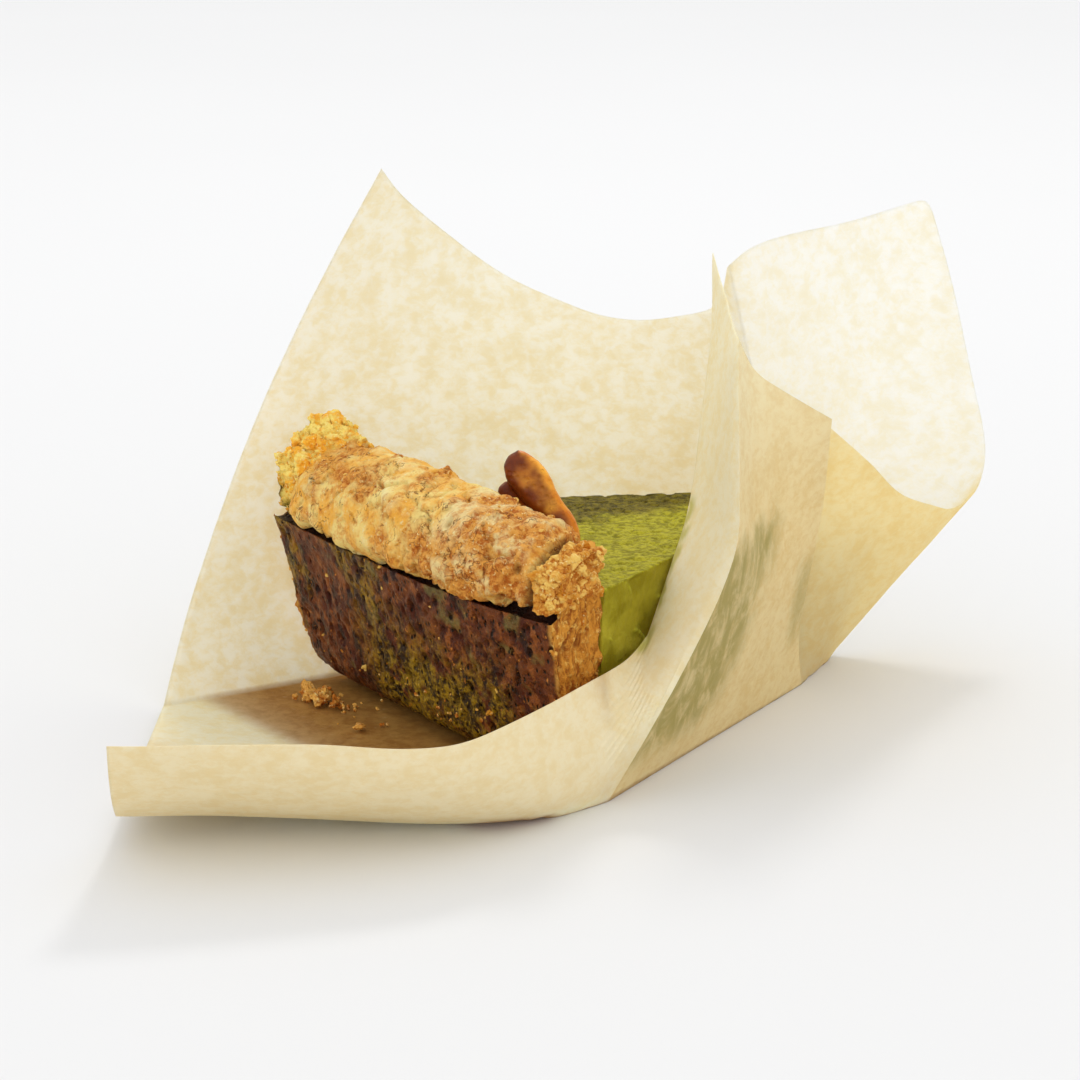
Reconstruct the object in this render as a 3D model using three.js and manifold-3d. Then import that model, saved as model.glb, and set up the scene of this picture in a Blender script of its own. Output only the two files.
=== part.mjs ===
// A slice of matcha pie standing in the sheet of thin bakery paper that it was wrapped in.
// Units are millimetres, +Z is up. The slice is laid out in polar terms about its tip, the centre
// of the whole pie, and the paper is one sheet with a crease near its front edge, a pleat, and a
// folded ear beyond the tip.

import * as THREE from 'three';
import { mergeVertices, mergeGeometries } from 'three/addons/utils/BufferGeometryUtils.js';
import Module from 'manifold-3d';

// ---------------------------------------------------------------- driving dimensions

const gap = 0.3;                  // clearance between pieces that touch
const paperThickness = 0.7;       // the sheet, as a solid

const sliceStart = 187.5;         // direction of the cut face that is turned away, degrees
const sliceEnd = 239.5;           // direction of the cut face that is turned to the front
const sliceSteps = 44;            // sections round the slice
const tipRadius = 3;              // the tip of the slice is slightly blunt
const sliceBottom = paperThickness + gap;

const wallRadius = 109.7;         // outer wall at its top edge, at its flattest place
const wallFlattest = 213;         // direction of that place
const wallFlareLeft = 0.0158;     // mm of extra radius per square degree, towards the start
const wallFlareRight = 0.0092;    // the same towards the end
const wallTop = 38;               // top edge of the dark outer wall
const wallLean = 0.25;            // the tin's sloping side, mm per mm
const wallFoot = 8;               // radius of the rounded foot
const crustWidth = 20.5;          // crust between the outer wall's top edge and the filling
const baseThickness = 4;          // crust under the filling
const baseInner = 0.45;           // where the base is divided, as a share of the wall's radius
const fillingTop = 40;            // level of the filling
const fillingLean = 0.08;         // its outer side leans with the crust, mm per mm
const fillingCorner = 4;          // the crust thickens this much in the corner over the base,
const fillingCornerRise = 5;      // and over this height
const fillingRipple = 0.25;       // unevenness of its top
const rippleSize = 14;
const sideHeights = [8, 10.5, 16, 24, 32];            // rings of points up the filling's side
const wallHeights = [13, 17, 21, 25, 29, 33, 37];     // and up the outer wall

const creviceDepth = 3.4;         // gap under the rolled rim
const creviceHeight = 2;
const rimInset = 12.5;            // the roll's crown, in from the wall's top edge
const rimBelt = 45;               // height where the roll is widest
const rimReliefSize = 9;          // size of its lumps
const rimReliefDepth = 1.9;
const rimFirstAngle = -32;        // the roll's section, from under its outer side,
const rimLastAngle = 200;         // over the crown, to its inner side
const rimSteps = 15;
const footSteps = 5;              // points round the wall's foot
const wallReliefSize = 5;
const wallReliefDepth = 0.7;

// Height of the rolled rim's crown, and how far it stands out past the wall, round the slice.
const rimCrown = [
  [187.5, 60], [189.5, 57], [192.5, 53.5], [196, 56], [205, 57], [213, 57], [221, 56], [229, 54.5],
  [233.5, 53], [236, 50.5], [239.5, 49.5],
];
const rimOverhang = [
  [187.5, -0.8], [190.5, -3], [193.5, 0.5], [200, 1.8], [215, 2.2], [228, 2.4], [232, 1.6], [234.5, -2.5],
  [236, -1], [239.5, -1.2],
];

// ---------------------------------------------------------------- small helpers

const radians = THREE.MathUtils.degToRad;
const point = (x, y, z) => new THREE.Vector3(x, y, z);
const smooth = (t) => t * t * (3 - 2 * t);

/** Value of a station list [[where, value], ...] at a place, eased between the stations. */
function along(stations, where) {
  if (where <= stations[0][0]) return stations[0][1];
  for (let i = 1; i < stations.length; i += 1) {
    const [endWhere, endValue] = stations[i];
    const [startWhere, startValue] = stations[i - 1];
    if (where <= endWhere) {
      const t = (where - startWhere) / (endWhere - startWhere);
      return THREE.MathUtils.lerp(startValue, endValue, smooth(t));
    }
  }
  return stations[stations.length - 1][1];
}

/** Repeatable number from 0 to 1 for a lattice cell. */
function cellValue(i, j, k) {
  const s = Math.sin(i * 127.1 + j * 311.7 + k * 74.7) * 43758.5453;
  return s - Math.floor(s);
}

/** Smooth noise from -1 to 1 with cells of 1 mm; divide the position to scale it. */
function noise(x, y, z) {
  const [i, j, k] = [Math.floor(x), Math.floor(y), Math.floor(z)];
  const [u, v, w] = [smooth(x - i), smooth(y - j), smooth(z - k)];
  let sum = 0;
  for (let corner = 0; corner < 8; corner += 1) {
    const [a, b, c] = [corner & 1, (corner >> 1) & 1, (corner >> 2) & 1];
    const weight = (a ? u : 1 - u) * (b ? v : 1 - v) * (c ? w : 1 - w);
    sum += weight * cellValue(i + a, j + b, k + c);
  }
  return sum * 2 - 1;
}

/** A surface from its points and a flat list of its faces' corners. */
function openSurface(points, corners) {
  const geometry = new THREE.BufferGeometry();
  const coordinates = points.flatMap((p) => p.toArray());
  geometry.setAttribute('position', new THREE.Float32BufferAttribute(coordinates, 3));
  geometry.setIndex(corners);
  return geometry;
}

/** A closed geometry from its points and its faces, given as triples of indices. */
function solidFrom(points, faces) {
  const geometry = openSurface(points, faces.flat());
  return facingOut(dropSlivers(mergeVertices(geometry, 1e-4)));
}

/** Removes the triangles whose corners coincide, as at the point of a fan. */
function dropSlivers(geometry) {
  const index = geometry.getIndex().array;
  const kept = [];
  for (let i = 0; i < index.length; i += 3) {
    const [a, b, c] = [index[i], index[i + 1], index[i + 2]];
    if (a !== b && b !== c && c !== a) kept.push(a, b, c);
  }
  geometry.setIndex(kept);
  return geometry;
}

/** Turns a closed geometry's faces outwards if its signed volume is negative. */
function facingOut(geometry) {
  const p = geometry.getAttribute('position');
  const index = geometry.getIndex().array;
  const corner = [point(0, 0, 0), point(0, 0, 0), point(0, 0, 0)];
  let volume = 0;
  for (let i = 0; i < index.length; i += 3) {
    corner.forEach((v, n) => v.fromBufferAttribute(p, index[i + n]));
    volume += corner[0].dot(corner[1].clone().cross(corner[2]));
  }
  if (volume < 0) {
    for (let i = 0; i < index.length; i += 3) [index[i + 1], index[i + 2]] = [index[i + 2], index[i + 1]];
  }
  geometry.computeVertexNormals();
  return geometry;
}

function named(name, geometry, color, roughness) {
  const mesh = new THREE.Mesh(geometry, new THREE.MeshStandardMaterial({ color, roughness, metalness: 0 }));
  mesh.name = name;
  return mesh;
}

// ---------------------------------------------------------------- the slice

/** Radius of the outer wall's top edge in a direction: its ends flare a little. */
function wallEdge(degrees) {
  const off = degrees - wallFlattest;
  return wallRadius + (off < 0 ? wallFlareLeft : wallFlareRight) * off * off;
}

/** Radius of the outer wall at a height: a sloping side over a rounded foot. */
function wallAt(degrees, z) {
  const height = z - sliceBottom;
  const under = Math.max(0, wallFoot - height);
  const foot = wallFoot - Math.sqrt(wallFoot * wallFoot - under * under);
  return wallEdge(degrees) - wallLean * (wallTop - z) - foot;
}

/** Radius where the crust meets the filling, at a height. */
function fillingEdge(degrees, z) {
  const above = (z - sliceBottom - baseThickness) / fillingCornerRise;
  const corner = fillingCorner * Math.max(0, 1 - above) ** 2;
  return wallEdge(degrees) - crustWidth + fillingLean * (fillingTop - z) - corner;
}

/** Place on the slice from a direction, a radius and a height. */
const polar = (degrees, r, z) => point(r * Math.cos(radians(degrees)), r * Math.sin(radians(degrees)), z);

/** Sweeps a section, [[radius, height], ...] for each direction, round the slice and caps its ends. */
function sweepRoundSlice(section) {
  const points = [];
  const faces = [];
  let count = 0;
  for (let step = 0; step <= sliceSteps; step += 1) {
    const degrees = THREE.MathUtils.lerp(sliceStart, sliceEnd, step / sliceSteps);
    const ring = section(degrees);
    count = ring.length;
    ring.forEach(([r, z]) => points.push(polar(degrees, r, z)));
  }
  for (let step = 0; step < sliceSteps; step += 1) {
    for (let i = 0; i < count; i += 1) {
      const j = (i + 1) % count;
      const [here, next] = [step * count, (step + 1) * count];
      faces.push([here + i, next + j, here + j], [here + i, next + i, next + j]);
    }
  }
  for (const [degrees, first, flip] of [[sliceStart, 0, false], [sliceEnd, sliceSteps * count, true]]) {
    const outline = section(degrees).map(([r, z]) => new THREE.Vector2(r, z));
    for (const [a, b, c] of THREE.ShapeUtils.triangulateShape(outline, [])) {
      faces.push(flip ? [first + a, first + c, first + b] : [first + a, first + b, first + c]);
    }
  }
  return solidFrom(points, faces);
}

/** Lumps of the rolled rim at a place on it. */
function rimRelief(degrees, r, z) {
  const p = polar(degrees, r, z).divideScalar(rimReliefSize);
  const coarse = noise(p.x + 3, p.y, p.z);
  const fine = noise(p.x * 2.6, p.y * 2.6 + 7, p.z * 2.6);
  return rimReliefDepth * (0.65 * coarse + 0.35 * fine);
}

/** Pits and bumps of the baked outer wall. */
function wallRelief(degrees, r, z) {
  const p = polar(degrees, r, z).divideScalar(wallReliefSize);
  return -wallReliefDepth * Math.abs(noise(p.x, p.y, p.z * 0.6));
}

/** The crust's section: base, outer wall, crevice, rolled rim, and the side that holds the filling. */
function crustSection(degrees) {
  const edge = wallEdge(degrees);
  const ring = [[tipRadius, sliceBottom], [edge * baseInner, sliceBottom]];
  for (let i = 0; i <= footSteps; i += 1) {
    const z = sliceBottom + wallFoot * (1 - Math.cos((Math.PI / 2) * (i / footSteps)));
    ring.push([wallAt(degrees, z), z]);
  }
  for (const z of wallHeights) {
    const r = wallAt(degrees, z);
    ring.push([r + wallRelief(degrees, r, z), z]);
  }
  ring.push([edge, wallTop], [edge - creviceDepth, wallTop + creviceHeight / 3]);
  ring.push([edge - creviceDepth, wallTop + creviceHeight]);

  const crown = edge - rimInset;
  const outer = edge + along(rimOverhang, degrees) - crown;
  const inner = crown - fillingEdge(degrees, fillingTop);
  const top = along(rimCrown, degrees);
  for (let i = 0; i <= rimSteps; i += 1) {
    const a = radians(THREE.MathUtils.lerp(rimFirstAngle, rimLastAngle, i / rimSteps));
    const reach = Math.cos(a) > 0 ? outer : inner;
    const rise = Math.sin(a) > 0 ? top - rimBelt : rimBelt - wallTop;
    const fade = Math.min(1, 3 * (1 - i / rimSteps));
    const swell = fade * rimRelief(degrees, crown + reach * Math.cos(a), rimBelt + rise * Math.sin(a));
    const r = crown + (reach + swell) * Math.cos(a);
    const z = rimBelt + (rise + swell) * Math.sin(a);
    ring.push([Math.max(r, fillingEdge(degrees, fillingTop)), z]);
  }
  const baseTop = sliceBottom + baseThickness;
  const innerHeights = [fillingTop, ...sideHeights.toReversed(), baseTop];
  innerHeights.forEach((z) => ring.push([fillingEdge(degrees, z), z]));
  ring.push([edge * baseInner, baseTop], [tipRadius, baseTop]);
  return ring;
}

/** The custard filling's section, clear of the crust by the gap, its top faintly uneven. */
function fillingSection(degrees) {
  const bottom = sliceBottom + baseThickness + gap;
  const ring = [[tipRadius, bottom], [wallEdge(degrees) * baseInner, bottom]];
  for (const z of [bottom, ...sideHeights]) ring.push([fillingEdge(degrees, z) - 1.5 * gap, z]);
  const outer = fillingEdge(degrees, fillingTop) - 1.5 * gap;
  const topSteps = 7;
  for (let i = 0; i <= topSteps; i += 1) {
    const r = THREE.MathUtils.lerp(outer, tipRadius, i / topSteps);
    const p = polar(degrees, r, 0).divideScalar(rippleSize);
    ring.push([r, fillingTop + fillingRipple * (noise(p.x, p.y, 1) - 1)]);
  }
  return ring;
}

// ---------------------------------------------------------------- the glazed biscuit in the filling

const biscuitWaist = point(-57.4, -52, 50);   // where the front prong meets the stem
const biscuitTilt = 75;                       // its broad side leans back by 15 degrees
const biscuitThickness = 5;
const biscuitRound = 1.6;

/** One prong as a rounded plate, from its outline in its own plane. */
function biscuitPlate(outline, back) {
  const loop = new THREE.CatmullRomCurve3(outline.map(([x, y]) => point(x, y, 0)), true, 'centripetal');
  const shape = new THREE.Shape(loop.getSpacedPoints(26).slice(1).map((p) => new THREE.Vector2(p.x, p.y)));
  const plate = new THREE.ExtrudeGeometry(shape, {
    depth: biscuitThickness - 2 * biscuitRound,
    bevelThickness: biscuitRound,
    bevelSize: biscuitRound,
    bevelOffset: -biscuitRound,
    bevelSegments: 3,
    curveSegments: 1,
  });
  plate.translate(0, 0, back - biscuitThickness / 2 + biscuitRound);
  plate.rotateX(radians(biscuitTilt));
  plate.translate(biscuitWaist.x, biscuitWaist.y, biscuitWaist.z);
  return plate;
}

// ---------------------------------------------------------------- joining and cutting

const wasm = await Module();
wasm.setup();

function toManifold(geometry) {
  const bare = geometry.clone();
  bare.deleteAttribute('normal');
  bare.deleteAttribute('uv');
  const merged = mergeVertices(bare, 1e-4);
  return new wasm.Manifold(new wasm.Mesh({
    numProp: 3,
    vertProperties: new Float32Array(merged.getAttribute('position').array),
    triVerts: new Uint32Array(merged.getIndex().array),
  }));
}

function fromManifold(manifold) {
  const mesh = manifold.getMesh();
  const geometry = new THREE.BufferGeometry();
  geometry.setAttribute('position', new THREE.BufferAttribute(new Float32Array(mesh.vertProperties), 3));
  geometry.setIndex(new THREE.BufferAttribute(new Uint32Array(mesh.triVerts), 1));
  geometry.computeVertexNormals();
  return geometry;
}

/** The biscuit: a front prong with its stem, and a second prong behind, standing on the filling. */
function biscuit() {
  const front = biscuitPlate([
    [-8, 10.4], [-11, 7.6], [-10.4, 4.4], [-7.6, 0.6], [-4, -3], [-2.4, -7], [-1.8, -12.5], [3.6, -13],
    [4.7, -9], [4.4, -5.8], [2.4, -1.8], [0.2, 0.8], [-0.9, 4], [-3, 7.2],
  ], 0.8);
  const rear = biscuitPlate([
    [-10.6, 4.2], [-12.4, 2], [-11, -1.6], [-7, -5.6], [-4.6, -8.6], [-3.6, -12.5], [1.6, -12.5],
    [2, -8.6], [-1.8, -3.6], [-6, 0.6],
  ], -2.2);
  const sunk = new THREE.BoxGeometry(60, 60, 30);
  sunk.translate(biscuitWaist.x, biscuitWaist.y, fillingTop + gap - 15);
  return fromManifold(toManifold(front).add(toManifold(rear)).subtract(toManifold(sunk)));
}

// ---------------------------------------------------------------- the paper

// The sheet's middle surface, by its creases and edges. Rows that face each other across a panel
// have one point for each rib of the panel. The floor lies at half the sheet's thickness.

const floorCrease = [point(-132, -35, 0), point(-80, -105, 0)];   // left of it the floor lifts
const floorLift = 0.1;
const floorLevel = paperThickness / 2;

/** Height of the floor: flat under the slice, rising gently past the crease at its left end. */
function onFloor(x, y) {
  const [a, b] = floorCrease;
  const length = a.distanceTo(b);
  const past = ((b.y - a.y) * (x - a.x) - (b.x - a.x) * (y - a.y)) / length;
  return point(x, y, floorLevel + floorLift * Math.max(0, past));
}

const frontFold = [
  onFloor(-140, -117), onFloor(-123, -112), onFloor(-104, -109), onFloor(-80, -106), onFloor(-61, -103.5),
  onFloor(-48, -93),
];
const frontEdge = [
  point(-138, -140, 27.7), point(-121.4, -138, 27), point(-102.3, -134, 26), point(-79, -130, 23.7),
  point(-64.7, -117, 25.1), point(-50.5, -95, 25.9),
];
const cornerFold = [
  frontFold[5], point(-37.8, -91, 18), point(-32, -88, 28.3), point(-26.2, -83.5, 39.2),
  point(-22.5, -80, 49.3), point(-22.4, -76, 58.3), point(-22.2, -71, 67.1), point(-22.2, -65, 75.9),
  point(-21.6, -57, 84.3),
];
const cornerEdge = [
  frontEdge[5], point(-41.1, -74, 25.1), point(-36.5, -64, 32.5), point(-33.6, -58.5, 40.5),
  point(-30.4, -51, 47.8), point(-28.1, -42, 60.4), point(-26.9, -37, 67.7), point(-25.1, -29.5, 80),
  point(-24.5, -20, 95.5),
];
const sideFold = [frontFold[5], onFloor(-33.5, -68), onFloor(-18.6, -42.5), onFloor(-4.3, -18)];
const sideEdge = [cornerFold[8], point(-18.2, -53, 77.3), point(-10.1, -46, 70.7), point(-1, -38, 64)];
const pleatFold = [
  sideFold[3], point(-5.6, -23, 12), point(-4.4, -27.5, 25), point(-2.2, -32, 41), point(-1, -38, 64),
];
const pleatDepth = 3.2;
const pleatInwards = point(-0.857, 0.515, 0);
const earTip = [onFloor(3.2, -0.5), onFloor(3.6, 2.2), onFloor(2.4, 4.6), onFloor(0, 5.4)];

// The ear: its front layer from the pleat, round the keel, and its back layer up to the far edge.
const earRimFoot = [
  sideFold[3], onFloor(-0.9, -10.2), onFloor(1.4, -4.6), earTip[0], earTip[0], earTip[1], earTip[1],
  earTip[1], earTip[2], earTip[2], earTip[2], earTip[2], earTip[2], earTip[2],
];
const earRim = [
  point(-3.7, -36.4, 64), point(8.4, -27, 52.3), point(13.6, -20, 45.6), point(17.8, -15, 41.6),
  point(24.8, -7, 37.8), point(29.4, 0, 35), point(33.6, 6, 35.4), point(37.2, 13, 37),
  point(40.1, 22, 42), point(40.2, 29, 48), point(38.8, 34, 55.3), point(36, 43, 70.7), point(33, 50, 84),
  point(29.6, 55, 95.8),
];
const earTopFoot = [earTip[2], earTip[3], earTip[3], earTip[3], earTip[3], earTip[3]];
const earTop = [
  earRim[13], point(21.4, 48, 94.6), point(9, 35, 93.2), point(-3.4, 22, 93), point(-14.7, 8.5, 92),
  point(-19.8, 4, 88.8),
];
const backFoot = [
  earTip[3], onFloor(-10, 4.6), onFloor(-25, 3.4), onFloor(-40, 1.6), onFloor(-52, 0.2), onFloor(-64, -1.2),
  onFloor(-76, -3), onFloor(-88, -5.4), onFloor(-100, -8), onFloor(-118, -19.5), onFloor(-141, -35.5),
];
const backMiddle = [
  point(-12, 7, 45), point(-19, 9.5, 42), point(-28, 12, 40), point(-38.5, 13.5, 40), point(-49, 14, 41),
  point(-60, 13.5, 43), point(-70.5, 12, 46), point(-82, 10, 50), point(-94, 7.5, 51), point(-108, 2, 50),
  point(-123.7, -8, 54),
];
const backEdge = [
  earTop[5], point(-22.2, 11, 78.4), point(-29.8, 17.5, 75), point(-38.5, 23.5, 72.8),
  point(-47.4, 27, 73.3), point(-56.5, 28, 76.6), point(-66.6, 27, 81.3), point(-74.4, 24, 86.8),
  point(-83, 17, 94.8), point(-91, 7, 103.6), point(-94.6, -2, 110.4),
];

const panelRise = 12;             // spans up every panel, from its foot to its edge
const flapRibs = 15;              // spans along the front flap
const sideRibs = 9;               // spans along the side panel
const earRimRibs = 26;            // spans round the ear's cut edge
const earTopRibs = 10;            // spans along its far edge
const backRibs = flapRibs + sideRibs;
const floorSpans = 6;             // spans across the floor
const pleatOpens = 4;             // spans over which the pleat reaches its full depth

/** Points along part of a smooth row, between two of its given points, by their order in the row. */
function runPart(row, from, to, spans) {
  const curve = new THREE.CatmullRomCurve3(row, false, 'centripetal');
  return Array.from({ length: spans + 1 }, (_, i) => {
    const place = THREE.MathUtils.lerp(from, to, i / spans);
    return curve.getPoint(place / (row.length - 1));
  });
}

const run = (row, spans) => runPart(row, 0, row.length - 1, spans);

/** Points along a row of straight stretches, in step with a smooth row of as many points. */
function straightRun(row, spans) {
  return Array.from({ length: spans + 1 }, (_, i) => {
    const place = (i / spans) * (row.length - 1);
    const before = Math.min(Math.floor(place), row.length - 2);
    return row[before].clone().lerp(row[before + 1], place - before);
  });
}

/** A panel's net of points: ribs from a foot row to an edge row, bowed outwards by an offset. */
function panelBetween(foot, edge, bow = () => point(0, 0, 0)) {
  return foot.map((start, rib) => Array.from({ length: panelRise + 1 }, (_, i) => {
    const t = i / panelRise;
    const swell = bow(rib / (foot.length - 1)).multiplyScalar(4 * t * (1 - t));
    return start.clone().lerp(edge[rib], t).add(swell);
  }));
}

/** A panel whose ribs bend through a middle row. */
function panelThrough(foot, middle, edge) {
  return foot.map((start, rib) => {
    const half = start.clone().add(edge[rib]).multiplyScalar(0.5);
    const pull = middle[rib].clone().multiplyScalar(2).sub(half);
    return new THREE.QuadraticBezierCurve3(start, pull, edge[rib]).getPoints(panelRise);
  });
}

/** A four-sided panel filled in between its foot, edge, left and right rows. */
function panelWithin(foot, edge, left, right) {
  return foot.map((start, rib) => {
    const u = rib / (foot.length - 1);
    return left.map((leftPoint, i) => {
      const v = i / (left.length - 1);
      const across = leftPoint.clone().lerp(right[i], u);
      const upwards = start.clone().lerp(edge[rib], v);
      const low = foot[0].clone().lerp(foot[foot.length - 1], u);
      const high = edge[0].clone().lerp(edge[edge.length - 1], u);
      return across.add(upwards).sub(low.lerp(high, v));
    });
  });
}

/** The floor's net, laid from the front and side folds across to the foot of the back wall. */
function floorNet(front, back) {
  return front.map((start, rib) => Array.from({ length: floorSpans + 1 }, (_, i) => {
    const p = start.clone().lerp(back[rib], i / floorSpans);
    return i === 0 || i === floorSpans ? p : onFloor(p.x, p.y);
  }));
}

/** An open surface from a net of points. */
function netSurface(net) {
  const rows = net[0].length;
  const faces = [];
  for (let i = 0; i + 1 < net.length; i += 1) {
    for (let j = 0; j + 1 < rows; j += 1) {
      const [a, b] = [i * rows + j, (i + 1) * rows + j];
      faces.push(a, b, b + 1, a, b + 1, a + 1);
    }
  }
  return openSurface(net.flat(), faces);
}

/** A flat floor patch from its outline, facing down. */
function floorPatch(outline) {
  const flat = outline.map((p) => new THREE.Vector2(p.x, p.y));
  const faces = THREE.ShapeUtils.triangulateShape(flat, []).map(([a, b, c]) => {
    const ab = flat[b].clone().sub(flat[a]);
    const ac = flat[c].clone().sub(flat[a]);
    return ab.cross(ac) > 0 ? [a, c, b] : [a, b, c];
  });
  return openSurface(outline, faces.flat());
}

/** The sheet's panels, which share their common rows and all face outwards, joined as one surface. */
function sheetSurface() {
  const bandEdge = frontEdge.concat(cornerEdge.slice(1));
  const turn = frontEdge.length - 1;
  const flapBow = (t) => point(-2 * t, -2 - 6 * t, -1.2);
  const stripBow = (t) => flapBow(1).multiplyScalar(Math.max(0, 1 - 2 * t));
  const flap = panelBetween(run(frontFold, flapRibs), runPart(bandEdge, 0, turn, flapRibs), flapBow);
  const stripEdge = runPart(bandEdge, turn, bandEdge.length - 1, panelRise);
  const strip = panelBetween(run(cornerFold, panelRise), stripEdge, stripBow);

  const cornerRise = strip.map((column) => column[0]);
  const pleatRise = run(pleatFold, panelRise);
  const side = panelWithin(run(sideFold, sideRibs), run(sideEdge, sideRibs), cornerRise, pleatRise);
  const behindPleat = pleatRise.map((p, i) => {
    return p.clone().addScaledVector(pleatInwards, pleatDepth * Math.min(1, i / pleatOpens));
  });

  const earFoot = straightRun(earRimFoot, earRimRibs).concat(straightRun(earTopFoot, earTopRibs).slice(1));
  const earEdge = run(earRim, earRimRibs).concat(run(earTop, earTopRibs).slice(1));
  const ear = panelBetween(earFoot, earEdge);
  ear[0] = behindPleat;
  const back = panelThrough(run(backFoot, backRibs), run(backMiddle, backRibs), run(backEdge, backRibs));
  back[0] = ear[ear.length - 1];

  const feet = (net) => net.map((column) => column[0]);
  const front = feet(flap).concat(feet(side).slice(1)).reverse();
  const floor = floorNet(front, feet(back));
  const earFloor = floor[0].concat(feet(ear).reverse().slice(1, -1)).filter((p, i, all) => {
    return i === 0 || p.distanceTo(all[i - 1]) > 0.01;
  });
  const nets = [flap, strip, side, [pleatRise, behindPleat], ear, back, floor];
  const surfaces = nets.map(netSurface).concat([floorPatch(earFloor)]);
  return dropSlivers(mergeVertices(mergeGeometries(surfaces), 2e-3));
}

/**
 * Gives an open surface its thickness: two skins along the point normals, none of it below the
 * table, and a strip round its edge.
 */
function thicken(surface, thickness) {
  surface.computeVertexNormals();
  const position = surface.getAttribute('position');
  const normal = surface.getAttribute('normal');
  const index = Array.from(surface.getIndex().array);
  const count = position.count;
  const points = [];
  for (const side of [0.5, -0.5]) {
    for (let i = 0; i < count; i += 1) {
      const n = point(0, 0, 0).fromBufferAttribute(normal, i);
      const p = point(0, 0, 0).fromBufferAttribute(position, i).addScaledVector(n, side * thickness);
      points.push(p.setZ(Math.max(0, p.z)));
    }
  }
  const faces = [];
  const edges = new Map();
  for (let i = 0; i < index.length; i += 3) {
    const [a, b, c] = index.slice(i, i + 3);
    faces.push([a, b, c], [count + a, count + c, count + b]);
    for (const [from, to] of [[a, b], [b, c], [c, a]]) {
      if (!edges.delete(`${to}_${from}`)) edges.set(`${from}_${to}`, [from, to]);
    }
  }
  for (const [from, to] of edges.values()) {
    faces.push([to, from, count + from], [to, count + from, count + to]);
  }
  return solidFrom(points, faces);
}

// ---------------------------------------------------------------- the part

const whole = new THREE.Group();
whole.add(named('crust', sweepRoundSlice(crustSection), 0xb8813a, 0.85));
whole.add(named('matcha_filling', sweepRoundSlice(fillingSection), 0x7c8a2c, 0.5));
whole.add(named('biscuit_fork', biscuit(), 0xa8602a, 0.35));
whole.add(named('paper_wrap', thicken(sheetSurface(), paperThickness), 0xe2cf9c, 0.8));

// The frame's origin is at the middle of the part's foot.
const middle = new THREE.Box3().setFromObject(whole).getCenter(point(0, 0, 0));
whole.children.forEach((mesh) => mesh.geometry.translate(-middle.x, -middle.y, 0));

export default whole;
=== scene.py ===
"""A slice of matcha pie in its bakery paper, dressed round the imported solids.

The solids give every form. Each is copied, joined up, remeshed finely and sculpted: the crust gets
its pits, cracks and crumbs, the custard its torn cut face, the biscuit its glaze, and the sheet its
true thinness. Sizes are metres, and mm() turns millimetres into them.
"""

import math
import random
from collections import namedtuple

import bmesh
import bpy
from mathutils import Matrix, Vector, noise


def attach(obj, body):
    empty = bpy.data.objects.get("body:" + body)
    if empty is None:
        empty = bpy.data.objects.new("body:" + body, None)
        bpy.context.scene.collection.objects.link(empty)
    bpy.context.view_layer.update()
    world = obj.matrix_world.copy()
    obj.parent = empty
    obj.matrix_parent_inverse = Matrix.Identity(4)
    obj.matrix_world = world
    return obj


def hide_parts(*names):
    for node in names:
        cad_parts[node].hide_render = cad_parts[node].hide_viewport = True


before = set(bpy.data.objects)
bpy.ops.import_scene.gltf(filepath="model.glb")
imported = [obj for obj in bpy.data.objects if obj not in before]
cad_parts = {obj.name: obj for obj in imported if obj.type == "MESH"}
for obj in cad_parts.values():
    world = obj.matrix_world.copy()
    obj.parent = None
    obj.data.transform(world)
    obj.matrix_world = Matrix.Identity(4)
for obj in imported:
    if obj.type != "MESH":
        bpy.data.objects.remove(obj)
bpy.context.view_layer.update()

# ---------------------------------------------------------------- named sizes

TIP = Vector((50.25, 42.5, 0))      # the pie's centre in the part's frame, mm
SLICE_START = 187.5                 # directions of the slice's two cut faces, degrees
SLICE_END = 239.5
WALL_TOP = 38                       # mm
RIM_FOOT = 39.6                     # the rim's dough starts here, over a narrow crevice
WALL_RADIUS = 109.7
WALL_FLATTEST = 213                 # direction where the wall is flattest
WALL_FLARE = (0.0158, 0.0092)       # extra radius to either side of it, per square degree
CRUST_GRAIN = 0.5                   # spacing of the pieces' points, mm
CUSTARD_GRAIN = 0.62
BISCUIT_GRAIN = 0.4
CRUST_FOOT = 2.5                    # up to this height the crust's relief only goes inwards
CUSTARD_RELIEF = 0.25               # the custard's relief is never higher, mm
PAPER_THICKNESS = 0.2
PAPER_SOLID = 0.7                   # the sheet's thickness as a solid
PAPER_THROUGH = 0.6                 # share of light that the paper's finish sends on
# Painted light: less light goes through the paper on its flap, strip, floor and side panel, so
# their faces show lighter.
PAINTED_LIGHT_THROUGH = 0.24                # the same on its flap, strip, floor and side panel
WELD = 1e-5                         # metres

CAMERA_PLACE = (-10.75, -616.6, 204.5)
CAMERA_PITCH = -15
CAMERA_LENS = 102.7                 # on a 36 mm sensor
KEY_PLACE = (90, 630, 665)          # the key light stands behind the slice
KEY_RADIUS = 90
KEY_ENERGY = 7
STUDIO_LIGHT = (1.19, 0.95)         # in front of the slice, and behind it
STUDIO_TINT = (0.995, 0.997, 1.0, 1)
TABLE_HALF = 8                      # metres
TABLE_TONES = (0.775, 0.795)
SEED = 11

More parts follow.
